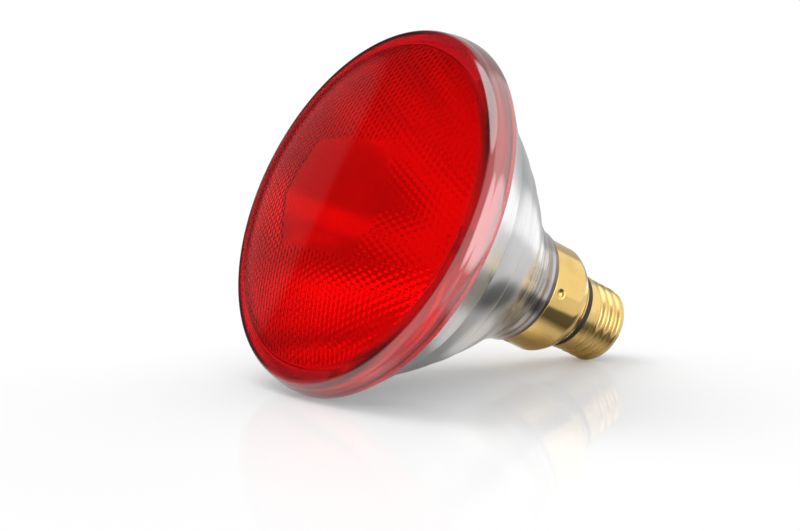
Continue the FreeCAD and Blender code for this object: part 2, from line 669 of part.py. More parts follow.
for item in doc.Objects:
    if "Invalid" in item.State or "Error" in item.State:
        raise RuntimeError(f"{item.Label} did not build: {item.State}")
os.makedirs("parts", exist_ok=True)
for piece in pieces:
    shape = piece.Shape
    if shape.isNull() or not shape.isValid() or len(shape.Solids) != 1:
        raise RuntimeError(f"{piece.Label} is not one sound solid")
    shape.exportStep(f"parts/{piece.Label}.step")
    box = shape.BoundBox
    print(f"{piece.Label}: volume {shape.Volume:.1f}, x {box.XMin:.2f} to {box.XMax:.2f},"
          f" y {box.YMin:.2f} to {box.YMax:.2f}, z {box.ZMin:.2f} to {box.ZMax:.2f}")
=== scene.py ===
import json
import math

import bpy
import numpy as np
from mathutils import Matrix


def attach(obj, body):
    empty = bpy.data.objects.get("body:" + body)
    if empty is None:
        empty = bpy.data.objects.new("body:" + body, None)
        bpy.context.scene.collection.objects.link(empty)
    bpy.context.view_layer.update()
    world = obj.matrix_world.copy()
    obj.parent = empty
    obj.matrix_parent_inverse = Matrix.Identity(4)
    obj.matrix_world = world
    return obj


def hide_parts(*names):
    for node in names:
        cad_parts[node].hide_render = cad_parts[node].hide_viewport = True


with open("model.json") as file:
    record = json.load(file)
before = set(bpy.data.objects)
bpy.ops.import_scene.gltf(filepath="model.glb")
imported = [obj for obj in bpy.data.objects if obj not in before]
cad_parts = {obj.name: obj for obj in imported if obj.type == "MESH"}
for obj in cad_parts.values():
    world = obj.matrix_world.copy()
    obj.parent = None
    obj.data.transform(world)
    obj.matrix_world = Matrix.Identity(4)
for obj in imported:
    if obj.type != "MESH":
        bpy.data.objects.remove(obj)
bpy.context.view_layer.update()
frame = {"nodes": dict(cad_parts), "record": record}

# Heat lamp with a red lens, a mirrored glass bowl and a brass screw cap, lying on a white table.
# Shapes are worked out in lamp millimetres: z runs along the lamp from the contact face to the
# lens, x is the lamp's upper side. lampToWorld then lays them where the CAD solids are.

mm = 0.001
mounts = {mount["name"]: mount for mount in frame["record"]["mounts"]}
contactPoint = np.array(mounts["centre_contact"]["pos_m"])
lampUp = -np.array(mounts["centre_contact"]["axis"])
lampUp /= np.linalg.norm(lampUp)
lampSide = np.array([0.0, 1.0, 0.0])
lampOver = np.cross(lampSide, lampUp)
lampTurn = math.atan2(-lampUp[0], lampUp[2])  # turn about Y from the world to the lamp


def lampToWorld(points):
    # place = contact point + x * over + y * side + z * up, in metres
    return contactPoint + (points * mm) @ np.stack([lampOver, lampSide, lampUp])


def arcPath(start, finish, radius, turn, steps):
    # points on a circle of this radius from start to finish, swelling left (1) or right (-1)
    start, finish = np.array(start, float), np.array(finish, float)
    chord = finish - start
    half = np.hypot(*chord) / 2
    left = np.array([-chord[1], chord[0]]) / (2 * half)
    middle = (start + finish) / 2 - left * turn * math.sqrt(radius ** 2 - half ** 2)
    first = math.atan2(*(start - middle)[::-1])
    swing = -turn * 2 * math.asin(half / radius)
    angles = first + swing * np.linspace(0, 1, steps + 1)
    return middle + radius * np.stack([np.cos(angles), np.sin(angles)], -1)


def linePath(start, finish, steps):
    # evenly spaced points from start to finish
    return np.linspace(np.array(start, float), np.array(finish, float), steps + 1)


def chain(*runs):
    # runs put end to end, without the points that two runs share
    points = np.concatenate(runs)
    step = np.hypot(*np.diff(points, axis=0).T)
    return points[np.concatenate([[True], step > 1e-6])]


def easeCorners(corners, radius, steps=4):
    # each corner of a closed outline becomes a bow: a blend of the points before, at and after it
    corners = np.array(corners, float)
    before = np.roll(corners, 1, 0) - corners
    after = np.roll(corners, -1, 0) - corners
    lengthBefore = np.hypot(*before.T)[:, None]
    lengthAfter = np.hypot(*after.T)[:, None]
    room = np.minimum(radius, 0.4 * np.minimum(lengthBefore, lengthAfter))
    inPoint = corners + before / lengthBefore * room
    outPoint = corners + after / lengthAfter * room
    share = np.linspace(0, 1, steps + 1)[None, :, None]
    bow = (1 - share) ** 2 * inPoint[:, None] + 2 * share * (1 - share) * corners[:, None]
    return (bow + share ** 2 * outPoint[:, None]).reshape(-1, 2)


def turnedGrid(path, around):
    # each (r, z) of the path goes round the axis: x = r cos a, y = r sin a
    angle = np.arange(around) * 2 * math.pi / around
    r, z = path[:, :1], path[:, 1:]
    return np.stack([r * np.cos(angle), r * np.sin(angle), z + 0 * angle], -1)


def gridFaces(rows, around, loop=False):
    # four-sided faces between neighbouring rows, closed round the axis, and along the path if loop
    row = np.arange(rows if loop else rows - 1)[:, None]
    column = np.arange(around)[None, :]
    nextRow, nextColumn = (row + 1) % rows, (column + 1) % around
    quads = [row * around + column, row * around + nextColumn,
             nextRow * around + nextColumn, nextRow * around + column]
    return np.stack(np.broadcast_arrays(*quads), -1).reshape(-1, 4)


def poleFan(ring, pole, flip):
    # triangles from one pole point to a closed ring of points
    following = np.roll(ring, -1)
    first, second = (following, ring) if flip else (ring, following)
    return np.stack([np.full_like(ring, pole), first, second], -1)


def outwardFaces(points, quads, triangles):
    # all faces are turned round if the volume they close comes out negative
    every = np.concatenate([quads[:, [0, 1, 2]], quads[:, [0, 2, 3]], triangles])
    a, b, c = (points[every[:, place]] for place in range(3))
    if np.einsum("ij,ij->", a, np.cross(b, c)) < 0:
        return quads[:, ::-1], triangles[:, ::-1]
    return quads, triangles


def newPiece(name, points, quads, triangles, sharpAngle=40.0):
    points = lampToWorld(points)
    triangles = np.asarray(triangles, int).reshape(-1, 3)
    quads, triangles = outwardFaces(points, quads, triangles)
    mesh = bpy.data.meshes.new(name)
    mesh.vertices.add(len(points))
    mesh.vertices.foreach_set("co", points.astype(np.float32).ravel())
    corners = np.concatenate([quads.ravel(), triangles.ravel()])
    sizes = np.concatenate([np.full(len(quads), 4), np.full(len(triangles), 3)])
    mesh.loops.add(len(corners))
    mesh.loops.foreach_set("vertex_index", corners.astype(np.int32))
    mesh.polygons.add(len(sizes))
    mesh.polygons.foreach_set("loop_start", (np.cumsum(sizes) - sizes).astype(np.int32))
    mesh.polygons.foreach_set("use_smooth", np.ones(len(sizes), bool))
    mesh.update(calc_edges=True)
    mesh.validate()
    mesh.set_sharp_from_angle(angle=math.radians(sharpAngle))
    piece = bpy.data.objects.new(name, mesh)
    bpy.context.scene.collection.objects.link(piece)
    return piece


def turnedPiece(name, path, around, loop=True, sharpAngle=40.0):
    # a closed outline carried round the axis, or an open one that starts and ends on the axis
    if loop:
        grid = turnedGrid(path, around)
        return newPiece(name, grid.reshape(-1, 3), gridFaces(len(path), around, True), [], sharpAngle)
    grid = turnedGrid(path[1:-1], around)
    rows = len(path) - 2
    ends = np.array([[0, 0, path[0, 1]], [0, 0, path[-1, 1]]])
    points = np.concatenate([grid.reshape(-1, 3), ends])
    firstRing = np.arange(around)
    fans = [poleFan(firstRing, rows * around, True),
            poleFan(firstRing + (rows - 1) * around, rows * around + 1, False)]
    return newPiece(name, points, gridFaces(rows, around), np.concatenate(fans), sharpAngle)


def dress(piece, materials, nodes=()):
    for material in materials:
        piece.data.materials.append(material)
    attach(piece, "root")
    if nodes:
        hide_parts(*nodes)
    return piece


class Tone:
    # wraps a socket: sums on numbers add Math nodes, node() adds any other node

    def __init__(self, tree, socket=None):
        self.tree = tree
        self.socket = socket

    def node(self, kind, settings, sockets, output=0):
        made = self.tree.nodes.new(kind)
        for name, value in settings.items():
            if name == "stops":
                ramp = made.color_ramp.elements
                while len(ramp) < len(value):
                    ramp.new(0.5)
                for stop, (place, colour) in zip(ramp, value):
                    stop.position = place
                    stop.color = (*colour, 1.0)
            else:
                setattr(made, name, value)
        for name, value in sockets.items():
            if isinstance(value, Tone):
                self.tree.links.new(value.socket, made.inputs[name])
            else:
                made.inputs[name].default_value = value
        return Tone(self.tree, made.outputs[output])

    def sum(self, operation, first, second):
        return self.node("ShaderNodeMath", {"operation": operation}, {0: first, 1: second})

    def __add__(self, other):
        return self.sum("ADD", self, other)

    def __radd__(self, other):
        return self.sum("ADD", other, self)

    def __sub__(self, other):
        return self.sum("SUBTRACT", self, other)

    def __rsub__(self, other):
        return self.sum("SUBTRACT", other, self)

    def __mul__(self, other):
        return self.sum("MULTIPLY", self, other)

    def __rmul__(self, other):
        return self.sum("MULTIPLY", other, self)

    def __pow__(self, other):
        return self.sum("POWER", self, other)

    def between(self, low, high):
        # 0 below low, 1 above high, eased between
        return self.node("ShaderNodeMapRange", {"interpolation_type": "SMOOTHSTEP"},
                         {"Value": self, "From Min": low, "From Max": high})

    def mix(self, dark, light):
        # a colour between two colours, with this value as the share of the second
        return self.node("ShaderNodeMix", {"data_type": "RGBA"}, {0: self, 6: dark, 7: light}, 2)

    def noise(self, where, scale, detail=3.0, roughness=0.5):
        return self.node("ShaderNodeTexNoise", {}, {"Vector": where, "Scale": scale,
                                                   "Detail": detail, "Roughness": roughness})

    def stretch(self, where, scale):
        return self.node("ShaderNodeMapping", {}, {"Vector": where, "Scale": scale})

    def bump(self, height, distance, strength=1.0):
        return self.node("ShaderNodeBump", {}, {"Height": height, "Distance": distance,
                                                "Strength": strength})

    def lampPlace(self):
        # Object coordinates turned into the lamp's own frame, in metres
        middle = [-float(contactPoint @ side) for side in (lampOver, lampSide, lampUp)]
        objectPlace = self.node("ShaderNodeTexCoord", {}, {}, "Object")
        return self.node("ShaderNodeMapping", {}, {"Vector": objectPlace, "Location": middle,
                                                   "Rotation": (0.0, lampTurn, 0.0)})

    def axisParts(self, where):
        # distance from the lamp axis and height along it
        parts = self.node("ShaderNodeSeparateXYZ", {}, {"Vector": where}).socket.node
        x, y, z = (Tone(self.tree, parts.outputs[place]) for place in range(3))
        return (x * x + y * y) ** 0.5, z


def newFinish(name):
    material = bpy.data.materials.new(name)
    material.use_nodes = True
    return material, Tone(material.node_tree)


def setShader(material, sockets):
    shader = material.node_tree.nodes["Principled BSDF"]
    for name, value in sockets.items():
        if isinstance(value, Tone):
            material.node_tree.links.new(value.socket, shader.inputs[name])
        else:
            shader.inputs[name].default_value = value
    return material


redGlassLook = {"clear": (0.98, 0.003, 0.004, 1.0), "deep": (0.90, 0.002, 0.004, 1.0),
                "edge": (0.52, 0.004, 0.014, 1.0), "edgeFrom": 0.0535, "edgeTo": 0.0585,
                "edgeShare": 0.8, "edgeRough": 0.14, "edgeCoat": 0.85, "coatIndex": 2.7,
                "index": 1.47, "gloss": 0.5, "tint": (1.0, 0.86, 0.93, 1.0), "wave": 0.00003}


def redGlass():
    # clear red in the dome; the rim, by its distance from the axis, is deeper and has a polished coat
    material, tone = newFinish("redPressedGlass")
    place = tone.lampPlace()
    radius = tone.axisParts(place)[0]
    cloud = tone.noise(place, 26.0, 2.0)
    body = cloud.between(0.3, 0.7).mix(redGlassLook["deep"], redGlassLook["clear"])
    edge = radius.between(redGlassLook["edgeFrom"], redGlassLook["edgeTo"])
    ripple = tone.noise(place, 75.0, 1.0)
    haze = tone.noise(place, 420.0, 4.0)
    return setShader(material, {
        "Base Color": (edge * redGlassLook["edgeShare"]).mix(body, redGlassLook["edge"]),
        "Roughness": haze * 0.03 + 0.004 + edge * redGlassLook["edgeRough"],
        "Transmission Weight": 1.0, "IOR": redGlassLook["index"],
        "Coat Weight": edge * redGlassLook["edgeCoat"], "Coat Roughness": 0.02,
        "Coat IOR": redGlassLook["coatIndex"],
        "Specular IOR Level": redGlassLook["gloss"], "Specular Tint": redGlassLook["tint"],
        "Normal": tone.bump(ripple, redGlassLook["wave"])})


# the brown tone is painted shade towards the neck, and the lines at the ring steps are painted shade
bowlLook = {"bright": (0.70, 0.69, 0.69, 1.0), "dull": (0.52, 0.51, 0.51, 1.0),
            "shadeBrown": (0.22, 0.155, 0.10, 1.0), "dark": (0.050, 0.032, 0.028, 1.0),
            "darkTop": 0.0490, "darkBlend": 0.0012, "heelLow": 0.0564, "heelTop": 0.067,
            "steps": (0.0961, 0.0840, 0.0773, 0.0657, 0.0596, 0.0542), "line": 0.0007, "lineShare": 0.75}


def silveredGlass():
    # the silver behind the pressed glass, with painted brown shade in streaked rings towards the neck and
    # painted shade lines at the ring steps, and bare dark glass beside the skirt; all go by the height along
    # the lamp
    material, tone = newFinish("silveredGlass")
    place = tone.lampPlace()
    height = tone.axisParts(place)[1]
    cloud = tone.noise(place, 38.0, 3.0)
    turned = tone.noise(tone.stretch(place, (0.05, 0.05, 1.0)), 900.0, 2.0)
    rings = tone.noise(tone.stretch(place, (0.07, 0.07, 1.0)), 620.0, 3.0, 0.6)
    heel = 1 - height.between(bowlLook["heelLow"], bowlLook["heelTop"])
    bare = 1 - height.between(bowlLook["darkTop"] - bowlLook["darkBlend"], bowlLook["darkTop"])
    silvered = (cloud * 0.75 + turned * 0.25).between(0.3, 0.7).mix(bowlLook["dull"], bowlLook["bright"])
    # painted shade: brown streaked rings darken the silver towards the neck
    paintedShade = heel * (rings.between(0.38, 0.58) * 0.7 + 0.2)
    for step in bowlLook["steps"]:
        # a thin painted shade line: 1 at the step, 0 a line's width away from it
        offset = tone.sum("ABSOLUTE", height - step, 0.0)
        line = (1 - offset.between(0.0001, bowlLook["line"])) * bowlLook["lineShare"]
        paintedShade = tone.sum("MAXIMUM", paintedShade, line)
    return setShader(material, {
        "Base Color": bare.mix(paintedShade.mix(silvered, bowlLook["shadeBrown"]), bowlLook["dark"]),
        "Metallic": 1 - bare, "Roughness": cloud * 0.08 + turned * 0.06 + 0.16 - heel * 0.06,
        "Coat Weight": 0.25 + heel * 0.55, "Coat Roughness": 0.03, "Coat IOR": 1.5,
        "Normal": tone.bump(rings * (0.02 + heel * 0.6) + turned * 0.03, 0.0002)})


mirrorLook = {"bright": (0.93, 0.93, 0.94, 1.0), "dull": (0.82, 0.82, 0.84, 1.0)}


def mirrorCoat():
    material, tone = newFinish("mirrorCoat")
    place = tone.lampPlace()
    cloud = tone.noise(place, 45.0, 4.0)
    grain = tone.noise(place, 900.0, 3.0)
    return setShader(material, {
        "Base Color": cloud.between(0.3, 0.7).mix(mirrorLook["dull"], mirrorLook["bright"]),
        "Metallic": 1.0, "Roughness": cloud * 0.06 + grain * 0.03 + 0.09,
        "Normal": tone.bump(grain, 0.00001)})


def brass(name, pale, rich, smooth, rough, ringWear):
    material, tone = newFinish(name)
    place = tone.lampPlace()
    cloud = tone.noise(place, 85.0, 5.0, 0.6)
    turned = tone.noise(tone.stretch(place, (0.06, 0.06, 1.0)), 2600.0, 2.0)
    spots = tone.noise(place, 650.0, 3.0, 0.7)
    tarnish = cloud.between(0.45, 0.75) * 0.6 + spots.between(0.58, 0.8) * 0.4
    return setShader(material, {
        "Base Color": tarnish.mix(pale, rich), "Metallic": 1.0,
        "Roughness": smooth + (rough - smooth) * tarnish + turned * ringWear,
        "Normal": tone.bump(turned * 0.5 + spots * 0.5, 0.000015)})


def satinFinish(name, base, worn, metal, smooth, rough, scale, depth):
    # two tones of one material, mottled, with a fine grain in its roughness and relief
    material, tone = newFinish(name)
    place = tone.lampPlace()
    cloud = tone.noise(place, scale, 4.0, 0.6)
    grain = tone.noise(place, scale * 9, 3.0)
    return setShader(material, {
        "Base Color": cloud.between(0.35, 0.7).mix(base, worn), "Metallic": metal,
        "Roughness": smooth + (rough - smooth) * grain,
        "Normal": tone.bump(grain, depth)})


def stubGlass():
    material, tone = newFinish("stubGlass")
    place = tone.lampPlace()
    cloud = tone.noise(place, 180.0, 3.0)
    return setShader(material, {
        "Base Color": cloud.mix((0.86, 0.90, 0.89, 1.0), (0.96, 0.97, 0.97, 1.0)),
        "Roughness": cloud * 0.08 + 0.02, "Transmission Weight": 1.0, "IOR": 1.5})


redLensGlass = redGlass()
bowlSilver = silveredGlass()
silver = mirrorCoat()
skirtBrass = brass("polishedBrass", (0.82, 0.57, 0.20, 1.0), (0.64, 0.40, 0.10, 1.0), 0.08, 0.22, 0.05)
threadBrass = brass("rolledBrass", (0.84, 0.60, 0.23, 1.0), (0.68, 0.44, 0.12, 1.0), 0.18, 0.32, 0.06)
blackFibre = satinFinish("blackFibre", (0.020, 0.016, 0.014, 1.0), (0.045, 0.036, 0.030, 1.0),
                         0.0, 0.45, 0.70, 260.0, 0.00003)
darkGlass = satinFinish("darkCapGlass", (0.012, 0.012, 0.016, 1.0), (0.030, 0.028, 0.034, 1.0),
                        0.0, 0.05, 0.16, 140.0, 0.00002)
solder = satinFinish("solderedContact", (0.62, 0.61, 0.58, 1.0), (0.46, 0.45, 0.43, 1.0),
                     1.0, 0.22, 0.46, 300.0, 0.00005)
tungsten = satinFinish("tungstenCoil", (0.20, 0.20, 0.21, 1.0), (0.34, 0.34, 0.35, 1.0),
                       1.0, 0.30, 0.50, 700.0, 0.00001)
nickel = satinFinish("nickelWire", (0.60, 0.57, 0.53, 1.0), (0.44, 0.42, 0.39, 1.0),
                     1.0, 0.24, 0.42, 500.0, 0.00001)
ferruleMetal = satinFinish("ferruleMetal", (0.50, 0.47, 0.44, 1.0), (0.34, 0.32, 0.30, 1.0),
                           1.0, 0.30, 0.50, 420.0, 0.00002)
cement = satinFinish("neckCement", (0.055, 0.034, 0.030, 1.0), (0.13, 0.085, 0.065, 1.0),
                     0.0, 0.45, 0.75, 320.0, 0.00008)
stub = stubGlass()
print("finishes ready")

lensSizes = {"apex": 130.5, "domeRadius": 140.4, "domeEdge": (57.624, 118.13), "rimRound": 4.2,
             "sideBow": 11.0, "rimSide": (60.1, 114.3), "seam": (60.99, 109.83), "seamInside": 56.8,
             "stippleEdge": (53.0, 115.565), "innerRadius": 136.2, "cells": 280,
             "pitch": 2.25, "bump": 0.25, "plainEdge": 1.2,
             "field": [(16, -18), (16, 18), (-2, 25), (-17, 17), (-17, -17), (-2, -25)], "fieldEdge": 2.6}


def lenticules(x, y):
    # height of the nearest cushion: bump * (1 - (distance / corner distance) squared), hexagonal rows
    pitch = lensSizes["pitch"]
    rowGap = pitch * math.sqrt(3)
    distance = np.full(x.shape, np.inf)
    for shift in (0.0, 0.5):
        dx = (x / pitch + shift + 0.5) % 1 - 0.5
        dy = (y / rowGap + shift + 0.5) % 1 - 0.5
        distance = np.minimum(distance, np.hypot(dx * pitch, dy * rowGap))
    cushion = 1 - (distance * math.sqrt(3) / pitch) ** 2
    fade = np.clip((lensSizes["stippleEdge"][0] - np.hypot(x, y)) / lensSizes["plainEdge"], 0, 1)
    fade = np.minimum(fade, np.clip(fieldDistance(x, y) / lensSizes["fieldEdge"], 0, 1))
    return lensSizes["bump"] * np.clip(cushion, 0, 1) * fade * fade * (3 - 2 * fade)


def fieldDistance(x, y):
    # how far a point lies outside the plain field: the largest distance beyond any of its sides
    corners = np.array(lensSizes["field"], float)
    distance = np.full(x.shape, -np.inf)
    for start, finish in zip(corners, np.roll(corners, -1, 0)):
        run = (finish - start) / np.hypot(*(finish - start))
        distance = np.maximum(distance, (x - start[0]) * run[1] - (y - start[1]) * run[0])
    return distance


def squareToDisc(cells):
    # a square net bent into a disc: rings of squares become rings of circles, evenly spaced in angle
    u, v = np.meshgrid(np.linspace(-1, 1, cells + 1), np.linspace(-1, 1, cells + 1), indexing="ij")
    wide = np.abs(u) > np.abs(v)
    reach = np.where(wide, u, v)
    other = np.where(wide, v, u)
    share = math.pi / 4 * other / np.where(reach == 0, 1, reach)
    near, far = reach * np.cos(share), reach * np.sin(share)
    return np.where(wide, near, far), np.where(wide, far, near)


def lensPiece():
    # outside: dome, rim round, drafted side, seam face and inner wall, all turned about the axis;
    # inside: a disc net on the inner dome, lowered by the lenticules, stitched to the inner wall
    cells = lensSizes["cells"]
    around = cells
    seamInner = (lensSizes["seamInside"], lensSizes["seam"][1])
    dome = arcPath((0, lensSizes["apex"]), lensSizes["domeEdge"], lensSizes["domeRadius"], 1, 20)
    path = chain(
        dome[1:],
        arcPath(lensSizes["domeEdge"], lensSizes["rimSide"], lensSizes["rimRound"], 1, 12),
        arcPath(lensSizes["rimSide"], lensSizes["seam"], lensSizes["sideBow"], 1, 6),
        linePath(lensSizes["seam"], seamInner, 2),
        linePath(seamInner, lensSizes["stippleEdge"], 4)[:-1])
    outer = turnedGrid(path, around)
    rows = len(path)
    outerCount = rows * around
    x, y = squareToDisc(cells)
    x, y = x * lensSizes["stippleEdge"][0], y * lensSizes["stippleEdge"][0]
    innerMiddle = lensSizes["apex"] - lensSizes["domeRadius"]
    z = innerMiddle + np.sqrt(lensSizes["innerRadius"] ** 2 - x * x - y * y) - lenticules(x, y)
    inner = np.stack([x, y, z], -1).reshape(-1, 3)
    points = np.concatenate([outer.reshape(-1, 3), inner, [[0, 0, lensSizes["apex"]]]])
    net = outerCount + np.arange((cells + 1) ** 2).reshape(cells + 1, cells + 1)
    netQuads = np.stack([net[:-1, :-1], net[:-1, 1:], net[1:, 1:], net[1:, :-1]], -1).reshape(-1, 4)
    edge = np.concatenate([net[:-1, 0], net[-1, :-1], net[:0:-1, -1], net[0, :0:-1]])
    edgePoints = points[edge]
    angles = np.arctan2(edgePoints[:, 1], edgePoints[:, 0]) % (2 * math.pi)
    edge = edge[np.argsort(np.round(angles, 9))]
    lastRing = (rows - 1) * around + np.arange(around)
    fine = edge.reshape(around, 4)
    fineNext = np.roll(edge, -4).reshape(around, 4)[:, 0]
    ringNext = np.roll(lastRing, -1)
    stitch = np.concatenate([
        np.stack([lastRing, fine[:, 1], fine[:, 0]], -1),
        np.stack([lastRing, fine[:, 2], fine[:, 1]], -1),
        np.stack([lastRing, ringNext, fine[:, 2]], -1),
        np.stack([ringNext, fine[:, 3], fine[:, 2]], -1),
        np.stack([ringNext, fineNext, fine[:, 3]], -1)])
    outerQuads = gridFaces(rows, around)
    pole = poleFan(np.arange(around), len(points) - 1, True)
    # the three sets of faces are each wound so that they look out of the glass
    towardsLens = outerQuads[:, ::-1]
    return newPiece("lensGlass", points, np.concatenate([towardsLens, netQuads]),
                    np.concatenate([pole[:, ::-1], stitch[:, ::-1]]), 75.0)


lens = dress(lensPiece(), [redLensGlass], ["lens"])
print("lens ready:", len(lens.data.polygons), "faces")

bowlSizes = {"seam": 109.8, "seamRadius": 60.99, "mouth": 55.1, "mirrorTop": (54.843, 109.3),
             "rings": [(50.54, 96.3), (43.60, 84.2), (39.23, 77.5), (30.21, 65.9)],
             "heel": [(25.5, 59.8), (22.4, 54.4)], "step": 0.6, "bulge": 75.0,
             "neck": (21.1, 19.9), "neckLow": 46.6, "insert": 18.0, "insertEnd": 36.2,
             "groove": (16.9, 2.5), "dimpleHeight": 42.5, "bore": 14.0, "floorBack": 50.6,
             "focus": 13.5, "floorInside": 53.6, "flatRadius": 13.0, "ease": 0.35, "around": 320}


def bowlPiece():
    # outside: arcs from ring to ring, each ring a small step; inside: r squared = 4 * focus * height
    step, bulge = bowlSizes["step"], bowlSizes["bulge"]
    rings, heel = bowlSizes["rings"], bowlSizes["heel"]
    runs = [linePath((bowlSizes["seamRadius"], bowlSizes["seam"]), rings[0], 10)]
    for ring, following in zip(rings, rings[1:]):
        runs.append(arcPath((ring[0] - step, ring[1]), following, bulge, 1, 10))
    runs.append(linePath((rings[3][0] - step, rings[3][1]), heel[0], 4))
    runs.append(linePath((heel[0][0] - step, heel[0][1]), heel[1], 4))
    low, dimple = bowlSizes["neckLow"], bowlSizes["dimpleHeight"]
    grooveRadius, grooveHalf = bowlSizes["groove"]
    corners = [(bowlSizes["neck"][0], heel[1][1]), (bowlSizes["neck"][1], low), (bowlSizes["insert"], low),
               (bowlSizes["insert"], dimple + grooveHalf), (grooveRadius, dimple + grooveHalf),
               (grooveRadius, dimple - grooveHalf), (bowlSizes["insert"], dimple - grooveHalf),
               (bowlSizes["insert"], bowlSizes["insertEnd"]), (bowlSizes["bore"], bowlSizes["insertEnd"]),
               (bowlSizes["bore"], bowlSizes["floorBack"])]
    outside = easeCorners(chain(*runs, np.array(corners)), bowlSizes["ease"], 3)
    # the eased outline is closed by the floor and the mirror, so its first and last bows are plain
    outside = outside[4:-4]
    back = linePath((bowlSizes["bore"], bowlSizes["floorBack"]), (0, bowlSizes["floorBack"]), 4)
    flatHeight = bowlSizes["floorInside"] + bowlSizes["flatRadius"] ** 2 / (4 * bowlSizes["focus"])
    flat = linePath((0, flatHeight), (bowlSizes["flatRadius"], flatHeight), 5)
    radius = np.linspace(bowlSizes["flatRadius"], bowlSizes["mirrorTop"][0], 48)
    mirror = np.stack([radius, bowlSizes["floorInside"] + radius ** 2 / (4 * bowlSizes["focus"])], -1)
    lip = linePath((bowlSizes["mouth"], bowlSizes["seam"]), (bowlSizes["seamRadius"], bowlSizes["seam"]), 2)
    path = chain(flat, mirror, lip, outside, back)
    piece = turnedPiece("mirroredBowl", path, bowlSizes["around"], loop=False, sharpAngle=50.0)
    # rows of the floor and the paraboloid take the mirror coat (1), rows under the skirt and inside the
    # neck the cement (2), the rest is silvered glass (0); the last two sets of faces close the poles
    rowFinish = np.zeros(len(path) - 3, np.int32)
    rowFinish[:len(chain(flat, mirror)) - 2] = 1
    rowMiddle = (path[1:-2] + path[2:-1]) / 2
    hidden = (rowMiddle[:, 0] < bowlSizes["neck"][1]) & (rowMiddle[:, 1] < bowlSizes["floorBack"] + 0.1)
    rowFinish[hidden] = 2
    finish = np.repeat(rowFinish, bowlSizes["around"])
    poles = np.repeat(np.array([1, 2], np.int32), bowlSizes["around"])
    return piece, np.concatenate([finish, poles])


bowl, bowlFinish = bowlPiece()
dress(bowl, [bowlSilver, silver, cement], ["reflector"])
bowl.data.polygons.foreach_set("material_index", bowlFinish)
print("bowl ready:", len(bowl.data.polygons), "faces")

skirtSizes = {"radius": 18.7, "sheet": 0.5, "edge": 46.2, "lip": 0.9, "flare": 0.6, "shoulderHigh": 32.8,
              "shoulderLow": 26.2, "shoulderRound": 14.0, "endRadius": 14.0, "end": 25.6,
              "dimples": 4, "dimpleHeight": 42.5, "dimpleWidth": 3.6, "dimpleDepth": 0.9, "around": 640}


def skirtPiece():
    # sleeve outline turned about the axis, then pressed in at the dimples:
    # depth * (1 - (distance / half width) squared) squared, on both sides of the sheet
    radius, sheet = skirtSizes["radius"], skirtSizes["sheet"]
    edge, lip, flare = skirtSizes["edge"], skirtSizes["lip"], skirtSizes["flare"]
    high, low, end = skirtSizes["shoulderHigh"], skirtSizes["shoulderLow"], skirtSizes["end"]
    endRadius, bend = skirtSizes["endRadius"], skirtSizes["shoulderRound"]
    lipBow = arcPath((radius + flare - 0.35, edge), (radius + flare, edge - 0.35), 0.35, 1, 5)
    outside = chain(lipBow, linePath((radius + flare, edge - lip / 2), (radius, edge - lip), 3),
                    linePath((radius, edge - lip), (radius, dimpleLow()), 34),
                    linePath((radius, dimpleLow()), (radius, high), 10),
                    arcPath((radius, high), (endRadius, low), bend, 1, 16),
                    linePath((endRadius, low), (endRadius, end), 3))
    inside = chain(linePath((endRadius - sheet, end), (endRadius - sheet, low), 3),
                   arcPath((endRadius - sheet, low), (radius - sheet, high), bend, -1, 16),
                   linePath((radius - sheet, high), (radius - sheet, dimpleLow()), 10),
                   linePath((radius - sheet, dimpleLow()), (radius - sheet, edge), 34))
    path = chain(outside, inside)
    angle = np.arange(skirtSizes["around"]) * 2 * math.pi / skirtSizes["around"]
    spacing = 2 * math.pi / skirtSizes["dimples"]
    across = ((angle + spacing / 2) % spacing - spacing / 2) * radius
    distance = np.hypot(across[None, :], path[:, 1:] - skirtSizes["dimpleHeight"])
    share = np.clip(1 - (2 * distance / skirtSizes["dimpleWidth"]) ** 2, 0, 1)
    press = skirtSizes["dimpleDepth"] * share ** 1.4
    r = path[:, :1] - press
    grid = np.stack([r * np.cos(angle), r * np.sin(angle), path[:, 1:] + 0 * angle], -1)
    return newPiece("skirtSleeve", grid.reshape(-1, 3),
                    gridFaces(len(path), skirtSizes["around"], True), [], 35.0)


def dimpleLow():
    return skirtSizes["dimpleHeight"] - skirtSizes["dimpleWidth"] * 0.6


dress(skirtPiece(), [skirtBrass], ["skirt"])

ringSizes = {"radius": 13.7, "bore": 10.0, "low": 23.2, "high": 25.6, "skirtSpigot": (13.45, 2.6),
             "shellSpigot": (11.85, 3.2), "ease": 0.3}


def ringPiece():
    # collar with a spigot each way, corners eased, turned about the axis
    low, high = ringSizes["low"], ringSizes["high"]
    shellRadius, shellDepth = ringSizes["shellSpigot"]
    skirtRadius, skirtDepth = ringSizes["skirtSpigot"]
    corners = [(ringSizes["bore"], low - shellDepth), (shellRadius, low - shellDepth), (shellRadius, low),
               (ringSizes["radius"], low), (ringSizes["radius"], high), (skirtRadius, high),
               (skirtRadius, high + skirtDepth), (ringSizes["bore"], high + skirtDepth)]
    return turnedPiece("blackRing", easeCorners(corners, ringSizes["ease"]), 240)


dress(ringPiece(), [blackFibre], ["insulating_ring"])

shellSizes = {"crest": 13.15, "collar": 13.35, "collarLow": 19.6, "bore": 11.9, "end": 6.0, "top": 23.2,
              "endRound": 1.35, "pitch": 3.63, "depth": 0.9, "grooveAt": 7.2, "runOut": 1.5, "around": 288}


